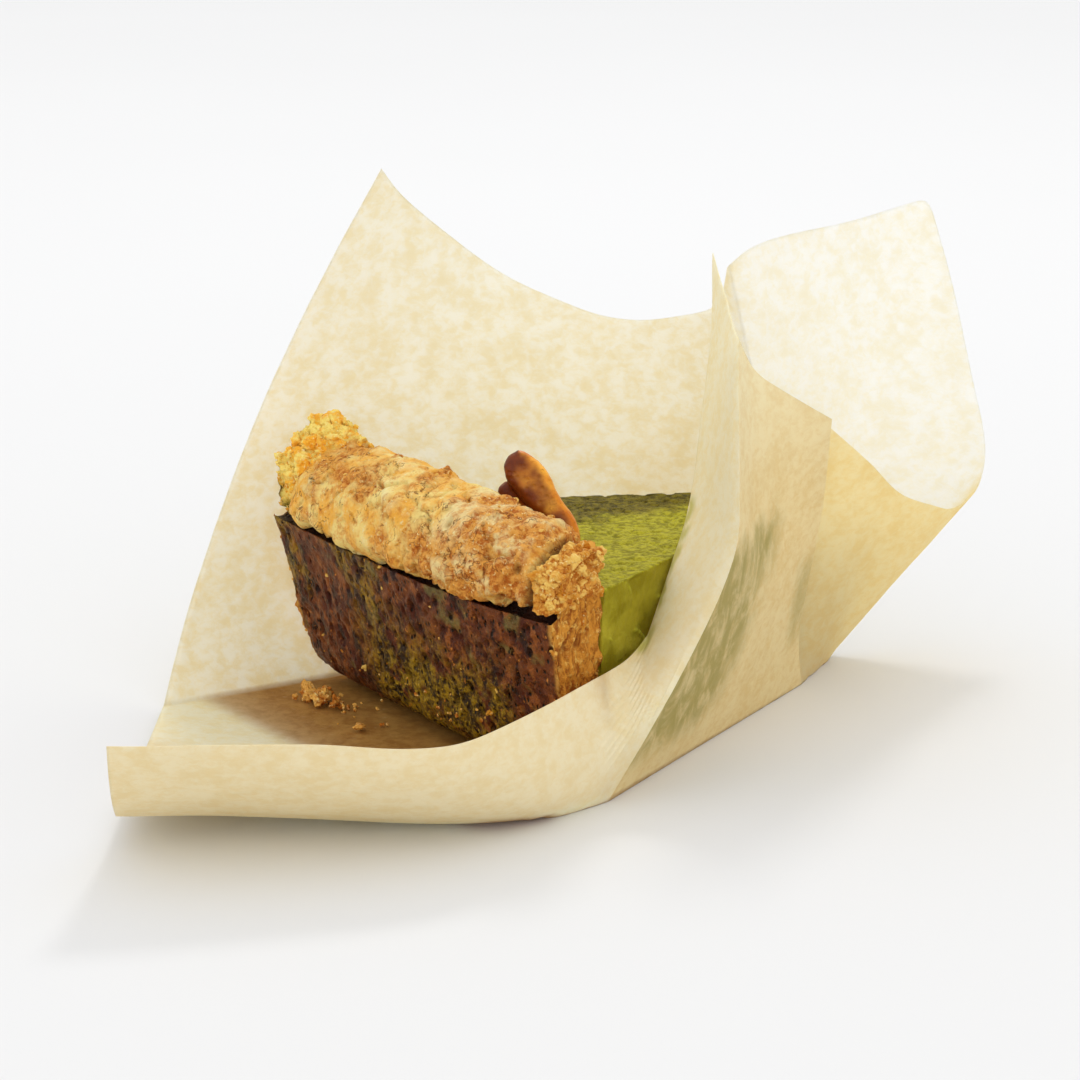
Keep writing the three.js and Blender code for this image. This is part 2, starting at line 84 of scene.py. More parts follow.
# The sheet's folds and the edge of its strip, mm from the pie's centre, as the solid has them.
CORNER_FOLD = [
    (-48, -93, 0), (-37.8, -91, 18), (-32, -88, 28.3), (-26.2, -83.5, 39.2), (-22.5, -80, 49.3),
    (-22.4, -76, 58.3), (-22.2, -71, 67.1), (-22.2, -65, 75.9), (-21.6, -57, 84.3),
]
PLEAT_FOLD = [(-4.3, -18, 0), (-5.6, -23, 12), (-4.4, -27.5, 25), (-2.2, -32, 41), (-1, -38, 64)]
STRIP_EDGE = [(-41.1, -74, 25.1), (-36.5, -64, 32.5), (-33.6, -58.5, 40.5), (-30.4, -51, 47.8)]
FLOOR_CREASE = [(-132, -35, 0), (-80, -105, 0)]
SIDE_PANEL = (-18, -50, 40)         # a place on the panel between the two folds
FOLD_REACH = 1.0                    # points this near to a fold lie on it
LARGE_CRUMB = 2.2                   # mm
BROKEN_END_LOW = 47                 # the left broken end's crumbs are finer below this height
CUT_FOOT = 14                       # crumbs lie on the wall's foot below this height
HEAP_TONE = 0.1                     # how yellow a heap's crumbs are, from 0 to 1
# Heaps of crumbs: x, y, z of the middle, radius, count, and smallest and largest crumb. They lie at
# the wall's foot, on its left edge, and behind the rim at the biscuit's foot.
HEAPS = [
    ((-57, 10, 1.2), 3.4, 26, 0.8, 3.0), ((-61, 12.5, 0.8), 2.4, 9, 0.7, 2.2),
    ((-53, 6.5, 0.8), 2.2, 10, 0.7, 2.4), ((-48.5, -8, 0.8), 1.6, 6, 0.7, 1.9),
    ((-43.5, -5.5, 0.6), 1.2, 4, 0.6, 1.4), ((-52, 0, 0.6), 7, 12, 0.4, 1.0),
    ((-55.4, 24, 18.5), 1.5, 7, 0.7, 1.9), ((-54.6, 22.5, 11), 1.2, 5, 0.6, 1.6),
    ((-10, -22, 47.6), 3.2, 34, 1.2, 3.2),
]

# The paper's tones where its fibres are thin and where they are thick, for its face and for the
# light that comes through it. Beside plain, all are painted light and shade: backlit_white where
# light shines through, amber where it comes through the ear's two layers, tan on the front flap
# and lower front, and panel on the side panel, the last two in painted shade.
PAPER_TONES = {
    "plain": ((0.96, 0.87, 0.62), (0.99, 0.94, 0.78), (0.94, 0.86, 0.64), (0.99, 0.97, 0.88)),
    "backlit_white": ((0.96, 0.91, 0.76), (0.99, 0.98, 0.92), (0.98, 0.95, 0.84), (1.0, 0.995, 0.97)),
    "tan": ((0.90, 0.74, 0.42), (0.94, 0.82, 0.54), (0.88, 0.74, 0.44), (0.93, 0.82, 0.56)),
    "amber": ((0.92, 0.76, 0.40), (0.96, 0.84, 0.52), (0.94, 0.82, 0.50), (0.97, 0.90, 0.66)),
    "panel": ((0.92, 0.76, 0.42), (0.97, 0.86, 0.54), (0.90, 0.78, 0.50), (0.95, 0.86, 0.62)),
}
# Painted light: a yellower face for the flap, strip and floor, which get no light from behind.
PAINTED_LIGHT_TONE = ((0.98, 0.87, 0.52), (1.0, 0.94, 0.68))
# Painted shade on the side panel, darker and more orange low down.
LOW_PANEL_TONE = ((0.82, 0.61, 0.26), (0.90, 0.73, 0.38))
# Painted shade of the slice on the floor, on greasy paper: its face, and the light through it.
SHADE_AND_GREASE_TONE = ((0.38, 0.16, 0.02), (0.54, 0.28, 0.06))
SHADE_AND_GREASE_THROUGH = (0.66, 0.42, 0.16, 1)
STRAND_TONE = (0.80, 0.66, 0.42, 1)


def mm(value):
    return value * 0.001


def srgb(red, green, blue, light=1.0):
    """A linear colour from its usual 0 to 255 values, divided by the light that falls there."""
    linear = [((v / 255 + 0.055) / 1.055) ** 2.4 for v in (red, green, blue)]
    return tuple(min(0.95, v / light) for v in linear) + (1.0,)


def between(value, low, high):
    """Eased from 0 at low to 1 at high."""
    t = min(1.0, max(0.0, (value - low) / (high - low)))
    return t * t * (3 - 2 * t)


def on_pie(co):
    """Direction in degrees, radius and height in mm of a place, seen from the pie's centre."""
    p = co * 1000 - TIP
    return math.degrees(math.atan2(p.y, p.x)) % 360, math.hypot(p.x, p.y), p.z


def row(places):
    """A row of places given from the pie's centre, in the frame's mm."""
    return [Vector(p) + TIP for p in places]


def from_row(co, places):
    """Distance in mm from a place to a row of places joined by straight stretches."""
    p = co * 1000
    nearest = math.inf
    for a, b in zip(places, places[1:]):
        along = b - a
        t = min(1.0, max(0.0, (p - a).dot(along) / along.length_squared))
        nearest = min(nearest, (p - a - along * t).length)
    return nearest


def wall_edge(degrees):
    """Radius of the outer wall's top edge, as the solid has it."""
    off = degrees - WALL_FLATTEST
    return WALL_RADIUS + (WALL_FLARE[0] if off < 0 else WALL_FLARE[1]) * off * off


# ---------------------------------------------------------------- making and shaping pieces


def merged_copy(node):
    """A bmesh of a CAD node with its loose triangles joined up."""
    bm = bmesh.new()
    bm.from_mesh(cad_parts[node].data)
    bmesh.ops.remove_doubles(bm, verts=bm.verts, dist=WELD)
    return bm


def into_quads(bm, flat=20, sharp=32, folds=()):
    """Joins the triangles into quads where they are flat, and creases sharp edges and folds."""
    for edge in bm.edges:
        off_folds = [max(from_row(v.co, fold) for v in edge.verts) for fold in folds]
        on_fold = any(distance < FOLD_REACH for distance in off_folds)
        edge.smooth = not on_fold
    bmesh.ops.join_triangles(
        bm, faces=bm.faces, cmp_sharp=True,
        angle_face_threshold=math.radians(flat), angle_shape_threshold=math.radians(60),
    )
    crease = bm.edges.layers.float.new("crease_edge")
    for edge in bm.edges:
        if edge.is_manifold and (not edge.smooth or edge.calc_face_angle() > math.radians(sharp)):
            edge[crease] = 1.0


def mark_region(bm, name, place):
    """Marks the faces that are reached from the one at a place without crossing a crease."""
    crease = bm.edges.layers.float["crease_edge"]
    mark = bm.faces.layers.float.new(name)
    first = min(bm.faces, key=lambda f: (f.calc_center_median() * 1000 - place).length)
    reached, fresh = {first}, [first]
    while fresh:
        open_edges = [e for f in fresh for e in f.edges if e[crease] < 0.5]
        fresh = list({f for e in open_edges for f in e.link_faces} - reached)
        reached.update(fresh)
    for face in reached:
        face[mark] = 1.0


def piece_from(bm, name):
    mesh = bpy.data.meshes.new(name)
    bm.to_mesh(mesh)
    bm.free()
    stored = mesh.attributes.get("custom_normal")
    if stored:
        mesh.attributes.remove(stored)
    piece = bpy.data.objects.new(name, mesh)
    bpy.context.collection.objects.link(piece)
    return piece


def apply_modifier(piece, kind, **settings):
    """Shapes a piece with one modifier and keeps the result as its mesh."""
    modifier = piece.modifiers.new(kind.lower(), kind)
    for name, value in settings.items():
        setattr(modifier, name, value)
    depsgraph = bpy.context.evaluated_depsgraph_get()
    mesh = bpy.data.meshes.new_from_object(
        piece.evaluated_get(depsgraph), preserve_all_data_layers=True, depsgraph=depsgraph
    )
    piece.modifiers.clear()
    old, piece.data = piece.data, mesh
    mesh.name = old.name
    bpy.data.meshes.remove(old)


def sculpt(piece, shape):
    """
    Shapes and paints a piece point by point. shape(place, normal) gives how far the point moves
    along its normal in mm, and the numbers from 0 to 1 that the finish reads there.
    """
    mesh = piece.data
    shaped = [shape(v.co.copy(), v.normal.copy()) for v in mesh.vertices]
    moves = [v.normal * mm(height) for v, (height, _) in zip(mesh.vertices, shaped)]
    for vertex, move in zip(mesh.vertices, moves):
        vertex.co += move
    mesh.update()
    for name in shaped[0][1]:
        store(piece, name, [paints[name] for _, paints in shaped])


def store(piece, name, amounts):
    """Keeps one number for each point, for the finish to read."""
    layer = piece.data.attributes.new(name, "FLOAT", "POINT")
    layer.data.foreach_set("value", amounts)


def dress(piece, finish, slot, *nodes):
    """Gives a piece its finish, lets it ride on the part, and hides the solids it stands for."""
    piece.data.materials.clear()
    piece.data.materials.append(finish)
    piece.data.shade_smooth()
    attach(piece, "root")
    if nodes:
        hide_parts(*nodes)


def lumps(co, size, octaves=3, shift=0.0):
    """Fractal noise from about -1 to 1 with lumps of a size in mm."""
    p = co * (1000 / size) + Vector((shift, 0, 0))
    return noise.fractal(p, 0.9, 2.1, octaves)


def cracks(co, size, width, shift=0.0):
    """1 along thin winding lines, 0 away from them."""
    p = co * (1000 / size) + Vector((0, shift, 0))
    return max(0.0, 1 - abs(noise.noise(p)) / width) ** 2


# ---------------------------------------------------------------- finishes


class Finish:
    """A node material under construction. Each method adds nodes and returns an output."""

    def __init__(self, name):
        self.material = bpy.data.materials.new(name)
        self.material.use_nodes = True
        self.tree = self.material.node_tree
        self.tree.nodes.clear()
        self.place = self.add("ShaderNodeTexCoord").outputs["Object"]

    def add(self, kind, inputs=None, **settings):
        node = self.tree.nodes.new(kind)
        for name, value in settings.items():
            setattr(node, name, value)
        for name, value in (inputs or {}).items():
            self.feed(node.inputs[name], value)
        return node

    def feed(self, socket, value):
        if isinstance(value, bpy.types.NodeSocket):
            self.tree.links.new(value, socket)
        else:
            socket.default_value = value

    def stretched(self, x, y, z, turn=(0, 0, 0)):
        """Object coordinates scaled along each axis, after a turn in degrees."""
        turned = tuple(math.radians(a) for a in turn)
        inputs = {"Vector": self.place, "Scale": (x, y, z), "Rotation": turned}
        return self.add("ShaderNodeMapping", inputs).outputs["Vector"]

    def grain(self, size, detail=4.0, rough=0.6, where=None, warp=0.0):
        """Noise with features of a size in mm."""
        inputs = {"Vector": where or self.place, "Scale": 1000 / size, "Detail": detail}
        inputs.update({"Roughness": rough, "Distortion": warp})
        return self.add("ShaderNodeTexNoise", inputs).outputs["Fac"]

    def cells(self, size, where=None, feature="F1"):
        inputs = {"Vector": where or self.place, "Scale": 1000 / size}
        return self.add("ShaderNodeTexVoronoi", inputs, feature=feature).outputs["Distance"]

    def painted(self, name):
        return self.add("ShaderNodeAttribute", attribute_name=name).outputs["Fac"]

    def levels(self, value, low, high, start=0.0, end=1.0):
        """Maps low to high onto start to end, and stops there."""
        inputs = {"Value": value, "From Min": low, "From Max": high, "To Min": start, "To Max": end}
        node = self.add("ShaderNodeMapRange", inputs, interpolation_type="SMOOTHSTEP")
        return node.outputs["Result"]

    def veins(self, size, width, where=None):
        """1 along thin winding lines, 0 away from them."""
        middle = self.math("SUBTRACT", self.grain(size, 4, 0.6, where, 0.6), 0.5)
        return self.levels(self.math("ABSOLUTE", middle), width, 0)

    def math(self, operation, a, b=0.0):
        node = self.add("ShaderNodeMath", operation=operation)
        self.feed(node.inputs[0], a)
        self.feed(node.inputs[1], b)
        return node.outputs[0]

    def mix(self, factor, a, b, blend="MIX"):
        node = self.add("ShaderNodeMix", data_type="RGBA", blend_type=blend)
        self.feed(node.inputs[0], factor)
        self.feed(node.inputs[6], a)
        self.feed(node.inputs[7], b)
        return node.outputs[2]

    def bump(self, height, depth, strength=1.0):
        """A normal from a height map, with its depth in mm."""
        inputs = {"Height": height, "Distance": mm(depth), "Strength": strength}
        return self.add("ShaderNodeBump", inputs).outputs["Normal"]

    def surface(self, shader):
        self.tree.links.new(shader, self.add("ShaderNodeOutputMaterial").inputs["Surface"])
        return self.material


def rim_tone(f):
    """Golden dough with orange patches; painted highlights on its lumps, painted shade in its folds
    and fine cracks.
    """
    gold = f.mix(f.levels(f.cloud, 0.4, 0.6), srgb(248, 184, 76), srgb(255, 220, 134))
    # Painted highlights on the high lumps.
    gold = f.mix(f.levels(f.relief, 0.52, 0.8, 0, 0.75), gold, srgb(255, 240, 180))
    gold = f.mix(f.levels(f.speck, 0.56, 0.7, 0, 0.6), gold, srgb(255, 242, 190))
    gold = f.mix(f.levels(f.speck, 0.46, 0.36, 0, 0.55), gold, srgb(226, 140, 48))
    orange = f.mix(f.levels(f.speck, 0.4, 0.6), srgb(204, 118, 36), srgb(242, 172, 76))
    gold = f.mix(f.levels(f.grain(5, 5, 0.7), 0.5, 0.6, 0, 0.65), gold, orange)
    brown = f.mix(f.levels(f.speck, 0.38, 0.6), srgb(184, 100, 32), srgb(238, 170, 78))
    brown = f.mix(f.levels(f.fleck, 0.56, 0.7), brown, srgb(252, 218, 144))
    browned = f.levels(f.grain(6, 4, 0.6), 0.4, 0.54, 0.3, 1)
    gold = f.mix(f.math("MULTIPLY", f.painted("crag"), browned), gold, brown)
    # Painted shade in the low folds.
    gold = f.mix(f.levels(f.relief, 0.42, 0.12, 0, 0.85), gold, srgb(164, 80, 20))
    cracked = f.levels(f.grain(7, 3, 0.6), 0.48, 0.56, 0, 0.8)
    # Painted shade along fine cracks.
    gold = f.mix(f.math("MULTIPLY", f.veins(6, 0.022), cracked), gold, srgb(116, 52, 14))
    return f.mix(f.levels(f.fleck, 0.62, 0.7, 0, 0.6), gold, srgb(255, 238, 180))


def wall_tone(f):
    """Dark maroon with pores painted near-black as their shade, ashen clouds, and olive where
    custard soaked it.
    """
    blot = f.grain(3.2, 4, 0.6, f.stretched(1, 1, 0.6))
    maroon = f.mix(f.levels(f.cloud, 0.42, 0.58), srgb(82, 31, 10), srgb(114, 58, 22))
    maroon = f.mix(f.levels(blot, 0.54, 0.62), maroon, srgb(144, 80, 32))
    maroon = f.mix(f.levels(blot, 0.46, 0.38), maroon, srgb(48, 18, 8))
    maroon = f.mix(f.levels(f.speck, 0.58, 0.7, 0, 0.6), maroon, srgb(184, 118, 58))
    maroon = f.mix(f.levels(f.speck, 0.44, 0.34, 0, 0.8), maroon, srgb(40, 14, 6))
    cloudy = f.levels(f.grain(11, 3, 0.5), 0.58, 0.66)
    ashen = f.math("MULTIPLY", cloudy, f.levels(f.speck, 0.35, 0.6, 0.3, 0.8))
    maroon = f.mix(ashen, maroon, srgb(124, 112, 58))
    olive = f.mix(f.levels(f.speck, 0.4, 0.6), srgb(70, 48, 6), srgb(160, 126, 18))
    olive = f.mix(f.levels(blot, 0.48, 0.38), olive, srgb(44, 28, 6))
    olive = f.mix(f.levels(f.fleck, 0.56, 0.7), olive, srgb(212, 172, 44))
    dark = f.mix(f.math("MULTIPLY", f.moss, f.levels(f.cloud, 0.38, 0.52)), maroon, olive)
    # Painted shade in the pores.
    dark = f.mix(f.levels(f.pores, 0.26, 0.14), dark, srgb(22, 9, 4))
    return f.mix(f.levels(f.grain(1.1, 2, 0.5), 0.7, 0.74), dark, srgb(214, 134, 52))


def cut_tone(f):
    """Flaky orange-brown layers that stand upright at the cut, with painted shade in their hollows.
    """
    upright = f.grain(2.0, 6, 0.75, f.stretched(1, 1, 0.5), 0.8)
    flaky = f.mix(f.levels(upright, 0.38, 0.6), srgb(152, 80, 20), srgb(222, 150, 54))
    flaky = f.mix(f.levels(f.speck, 0.52, 0.66), flaky, srgb(240, 190, 96))
    # Painted shade in the hollows between the layers.
    return f.mix(f.levels(f.relief, 0.42, 0.2, 0, 0.7), flaky, srgb(120, 58, 14))


def broken_tone(f):
    """The rim's broken ends: bright yellow at the left, baked at the right, green at the foot."""
    baked = f.mix(f.levels(f.speck, 0.4, 0.6), srgb(190, 108, 30), srgb(242, 176, 76))
    yellow = f.mix(f.levels(f.speck, 0.38, 0.6), srgb(255, 180, 50), srgb(255, 224, 120))
    loose = f.mix(f.painted("bright"), baked, yellow)
    loose = f.mix(f.levels(f.fleck, 0.58, 0.7, 0, 0.7), loose, srgb(252, 228, 150))
    # Painted shade in the hollows of the broken ends.
    loose = f.mix(f.levels(f.relief, 0.4, 0.1, 0, 0.7), loose, srgb(176, 100, 20))
    green = f.mix(f.levels(f.speck, 0.42, 0.6), srgb(118, 96, 18), srgb(208, 180, 76))
    return f.mix(f.moss, loose, green)


def crust_finish():
    """Baked crust: a dark pitted wall, golden rim, and a flaky orange section at the cuts."""
    f = Finish("baked_crust")
    f.cloud = f.grain(8, 5, 0.65)
    f.speck = f.grain(1.7, 6, 0.72)
    f.fleck = f.grain(0.8, 4, 0.65)
    f.pores = f.cells(1.25, f.stretched(1, 1, 0.55))
    f.relief = f.painted("relief")
    f.moss = f.painted("moss")
    wall = f.painted("wall")

    colour = f.mix(wall, rim_tone(f), wall_tone(f))
    colour = f.mix(f.painted("cut"), colour, cut_tone(f))
    colour = f.mix(f.painted("crumb"), colour, broken_tone(f))
    # Painted shade in the wall's pits, the crevice under the rim, and the rim's groove and dents.
    colour = f.mix(f.math("MULTIPLY", f.painted("pit"), 0.92), colour, srgb(40, 17, 8))
    colour = f.mix(f.painted("char"), colour, srgb(26, 20, 12))
    height = f.math("ADD", f.math("MULTIPLY", f.speck, 0.6), f.math("MULTIPLY", f.fleck, 0.4))
    holes = f.math("MULTIPLY", f.levels(f.pores, 0.12, 0.32), f.math("MULTIPLY", wall, 0.35))
    inputs = {
        "Base Color": colour,
        "Roughness": f.levels(wall, 0, 1, 0.8, 0.36),
        "Specular IOR Level": f.levels(wall, 0, 1, 0.15, 0.2),
        "Normal": f.bump(f.math("ADD", height, holes), 1.2),
    }
    return f.surface(f.add("ShaderNodeBsdfPrincipled", inputs).outputs["BSDF"])


def custard_finish():
    """Green custard: a grainy top that darkens towards the back, and a smooth moist cut face with
    painted highlights on its torn ridges.
    """
    f = Finish("matcha_custard")
    top, ridge, back = f.painted("top"), f.painted("ridge"), f.painted("back")
    cloud = f.grain(9, 4, 0.6)
    speck = f.grain(1.3, 6, 0.7)
    sparkle = f.grain(0.5, 2, 0.5)

    skin = f.mix(f.levels(speck, 0.36, 0.62), srgb(132, 126, 10), srgb(194, 186, 46))
    shade = f.mix(f.levels(speck, 0.38, 0.62), srgb(70, 60, 8), srgb(134, 120, 30))
    skin = f.mix(back, skin, shade)
    flesh = f.mix(f.levels(cloud, 0.35, 0.65), srgb(150, 138, 22), srgb(188, 176, 50))
    # Painted highlights on the torn ridges of the cut face.
    flesh = f.mix(ridge, flesh, srgb(220, 218, 74))
    colour = f.mix(top, flesh, skin)
    gloss = f.math("MULTIPLY", top, f.levels(sparkle, 0.66, 0.72))
    rough = f.mix(gloss, (0.6, 0.6, 0.6, 1), (0.12, 0.12, 0.12, 1))
    inputs = {
        "Base Color": colour, "Roughness": rough, "Specular IOR Level": 0.12,
        "Subsurface Weight": 0.2, "Subsurface Scale": mm(2),
        "Subsurface Radius": (1.0, 0.8, 0.3), "Normal": f.bump(speck, 0.8),
    }
    return f.surface(f.add("ShaderNodeBsdfPrincipled", inputs).outputs["BSDF"])


def biscuit_finish():
    """A smooth brown biscuit under a thin glaze, with painted shade on one side, and fine dimples.
    """
    f = Finish("glazed_biscuit")
    shade = f.painted("shade")
    cloud = f.grain(6, 3, 0.5)
    speck = f.grain(0.9, 4, 0.6)
    dimple = f.cells(1.6)
    cloudy = f.levels(cloud, 0.35, 0.65)
    colour = f.mix(cloudy, srgb(214, 120, 22), srgb(252, 178, 56))
    # Painted shade on the biscuit's left side.
    colour = f.mix(shade, colour, f.mix(cloudy, srgb(98, 38, 4), srgb(132, 60, 10)))
    colour = f.mix(f.levels(speck, 0.52, 0.75, 0, 0.5), colour, srgb(140, 64, 10))
    dimpled = f.math("MULTIPLY", f.levels(dimple, 0.1, 0.4), 0.5)
    height = f.math("ADD", f.math("MULTIPLY", speck, 0.5), dimpled)
    inputs = {
        "Base Color": colour, "Roughness": f.levels(speck, 0.3, 0.7, 0.35, 0.55),
        "Coat Weight": 0.1, "Coat Roughness": 0.25, "Specular IOR Level": 0.2,
        "Normal": f.bump(height, 0.3),
    }
    return f.surface(f.add("ShaderNodeBsdfPrincipled", inputs).outputs["BSDF"])


def crumb_finish():
    """Loose crumbs: bright yellow at the broken end, golden to orange-brown elsewhere."""
    f = Finish("loose_crumbs")
    lit = f.painted("bright")
    cloud = f.grain(4, 3, 0.6)
    speck = f.grain(0.9, 4, 0.7)
    baked = f.mix(f.levels(cloud, 0.42, 0.58), srgb(178, 98, 28), srgb(232, 172, 80))
    yellow = f.mix(f.levels(cloud, 0.42, 0.58), srgb(255, 182, 54), srgb(255, 224, 122))
    colour = f.mix(lit, baked, yellow)
    colour = f.mix(f.levels(speck, 0.54, 0.7), colour, srgb(250, 226, 156))
    inputs = {
        "Base Color": colour, "Roughness": 0.8, "Specular IOR Level": 0.2,
        "Normal": f.bump(speck, 0.5),
    }
    return f.surface(f.add("ShaderNodeBsdfPrincipled", inputs).outputs["BSDF"])


def paper_finish():
    """Thin unbleached paper: clouds of fibres that let the light through, what stained it, and
    painted light and shade.
    """
    f = Finish("bakery_paper")
    painted_light, low, panel, shade_and_grease = (f.painted(n) for n in ("painted_light", "low", "panel", "shade_and_grease"))
    cloud = f.grain(6, 4, 0.6)
    fibre = f.grain(1.9, 6, 0.7, f.stretched(0.8, 0.8, 1.2), 0.4)
    strand = f.grain(0.5, 3, 0.6, f.stretched(0.35, 0.35, 1.2))
    body = f.math("ADD", f.math("MULTIPLY", cloud, 0.4), f.math("MULTIPLY", fibre, 0.6))
    body = f.levels(body, 0.38, 0.6)

    def tone(thin, thick):
        return f.mix(body, thin + (1,), thick + (1,))

    def tones(name):
        """The face's tone and that of the light through it."""
        thin, thick, thin_through, thick_through = PAPER_TONES[name]
        return tone(thin, thick), tone(thin_through, thick_through)

    fill, through = tones("plain")
    # Painted light: the flap, strip and floor take a yellower face.
    fill = f.mix(painted_light, fill, tone(*PAINTED_LIGHT_TONE))
    # backlit_white, tan and amber are painted light and shade.
    for name in ("backlit_white", "tan", "amber"):
        face, glow = tones(name)
        mask = f.painted(name)
        fill, through = f.mix(mask, fill, face), f.mix(mask, through, glow)
    # Painted shade: the side panel's tan, darker and more orange low down.
    face, glow = tones("panel")
    fill = f.mix(panel, fill, f.mix(low, face, tone(*LOW_PANEL_TONE)))
    through = f.mix(panel, through, glow)
    # Painted shade of the slice on the floor, on greasy paper.
    fill = f.mix(shade_and_grease, fill, tone(*SHADE_AND_GREASE_TONE))
    through = f.mix(shade_and_grease, through, SHADE_AND_GREASE_THROUGH)
    fill = f.mix(f.levels(strand, 0.6, 0.75, 0, 0.2), fill, STRAND_TONE)

    streak = f.grain(3.2, 5, 0.65, f.stretched(1, 0.45, 0.3, (0, -14, 0)), 0.6)
    # The green patch: where custard has stained the panel, and the painted shadow of its tip.
    soaked = f.math("MULTIPLY", f.painted("stain_and_tip_shadow"), panel)
    soaked = f.math("MULTIPLY", soaked, f.levels(streak, 0.32, 0.6, 0.3, 0.85))
    fill = f.mix(soaked, fill, srgb(168, 152, 70))
    through = f.mix(soaked, through, srgb(184, 168, 90))
    smear = f.painted("smear")
    fill = f.mix(smear, fill, srgb(196, 190, 52))
    through = f.mix(smear, through, srgb(204, 196, 74))

    normal = f.bump(f.grain(3, 4, 0.5), 0.25)
    front = {"Base Color": fill, "Roughness": 0.7, "Normal": normal}
    front = f.add("ShaderNodeBsdfPrincipled", front)
    rear = f.add("ShaderNodeBsdfTranslucent", {"Color": through, "Normal": normal})
    # Painted light: the flap, strip, floor and side panel send less light on and show a lighter
    # face.
    solid = f.math("MAXIMUM", painted_light, panel)
    share = f.levels(solid, 0, 1, PAPER_THROUGH, PAINTED_LIGHT_THROUGH)
    both = f.add("ShaderNodeMixShader", {"Fac": share})
    f.tree.links.new(front.outputs["BSDF"], both.inputs[1])
    f.tree.links.new(rear.outputs["BSDF"], both.inputs[2])
    return f.surface(both.outputs["Shader"])


def table_finish():
    """Plain pale paintwork, with hardly any cloud in it."""
    f = Finish("pale_table")
    tone = f.mix(f.grain(400, 2, 0.5), *((t, t, t, 1) for t in TABLE_TONES))
    inputs = {"Base Color": tone, "Roughness": 0.9}
    return f.surface(f.add("ShaderNodeBsdfPrincipled", inputs).outputs["BSDF"])


# ---------------------------------------------------------------- the crust


def pits(co, width, tall, share, shift):
    """Depth from 0 to 1 of upright pits of a size in mm, in that share of the cells."""
    degrees, _, z = on_pie(co)
    around = math.radians(degrees) * WALL_RADIUS
    distances, places = noise.voronoi(Vector((around / width, z / tall, shift)))
    if noise.cell(places[0] * 7.3) * 0.5 + 0.5 > share:
        return 0.0
    return 1 - between(distances[0], 0.1, 0.4)


def wall_pits(co):
    return min(1.0, pits(co, 2.7, 5.0, 0.6, 0.5) + 0.7 * pits(co, 1.7, 3.0, 0.45, 7.5))


Masks = namedtuple("Masks", "wall cut rim left right")


def crust_masks(co):
    """How much a place belongs to the wall, the cuts, the rim, and the rim's two broken ends."""
    degrees, r, z = on_pie(co)
    rim = between(z, RIM_FOOT - 0.2, RIM_FOOT + 0.4)
    start = 1 - between(degrees, SLICE_START, SLICE_START + 0.7)
    cut = max(start, between(degrees, SLICE_END - 0.7, SLICE_END))
    left = rim * (1 - between(degrees + 0.9 * lumps(co, 5), 191.0, 192.0))
    right = rim * between(degrees + 0.8 * lumps(co, 4), 236.8, 237.6)
    wall = (1 - rim) * between(r - wall_edge(degrees), -19, -15) * (1 - cut)
    return Masks(wall, cut, rim, left, right)


def crag(co):
    """Where the rim's dough is craggy: in patches, and more so towards its right end."""
    degrees, _, _ = on_pie(co)
    return between(lumps(co, 12, 2, 5) + 0.4 * between(degrees, 220, 226), 0.05, 0.3)


def dough(co, rough):
    """Relief of the rim's dough in mm: soft lumps with broken folds, and crags where rough."""
    bent = co + mm(1.8) * noise.noise_vector(co * 260)
    folds = 1.5 * cracks(bent, 8, 0.08) * between(lumps(co, 8, 2, 17), -0.05, 0.2)
    folds += 0.9 * cracks(bent, 4.2, 0.11, 9) * between(lumps(co, 6, 2, 31), 0.05, 0.3)
    height = 0.8 * lumps(bent, 7, 2, 2) + 0.34 * lumps(co, 2.6, 3) - folds
    return height + rough * (0.9 * lumps(co, 3.2, 3, 7) + 0.4 * lumps(co, 1.4, 2))


def knob(co):
    """The knotty lump at the rim's right end, and the groove that parts it from the broken end."""
    degrees, _, z = on_pie(co)
    lump = between(degrees, 221, 225) * (1 - between(degrees, 234.5, 236))
    groove = between(degrees, 235.6, 236.3) * (1 - between(degrees, 236.6, 237.3))
    return lump * between(z, 40, 43), groove


def mossy(co):
    """Where custard has soaked the crust green: low on the wall, and by the left broken end."""
    degrees, _, z = on_pie(co)
    low = 1 - between(z + 5 * lumps(co, 9), 14, 32)
    middle = between(degrees, 198, 208) * (1 - between(degrees, 228, 236))
    upper = between(lumps(co, 15, 2, 3), 0.05, 0.3) * between(z, 18, 26)
    upper *= 1 - between(degrees, 206, 214)
    end = (1 - between(degrees, 190.5, 193)) * between(z, 36, 39) * (1 - between(z, 41, 44))
    return min(1.0, low * middle + 0.75 * upper + end)


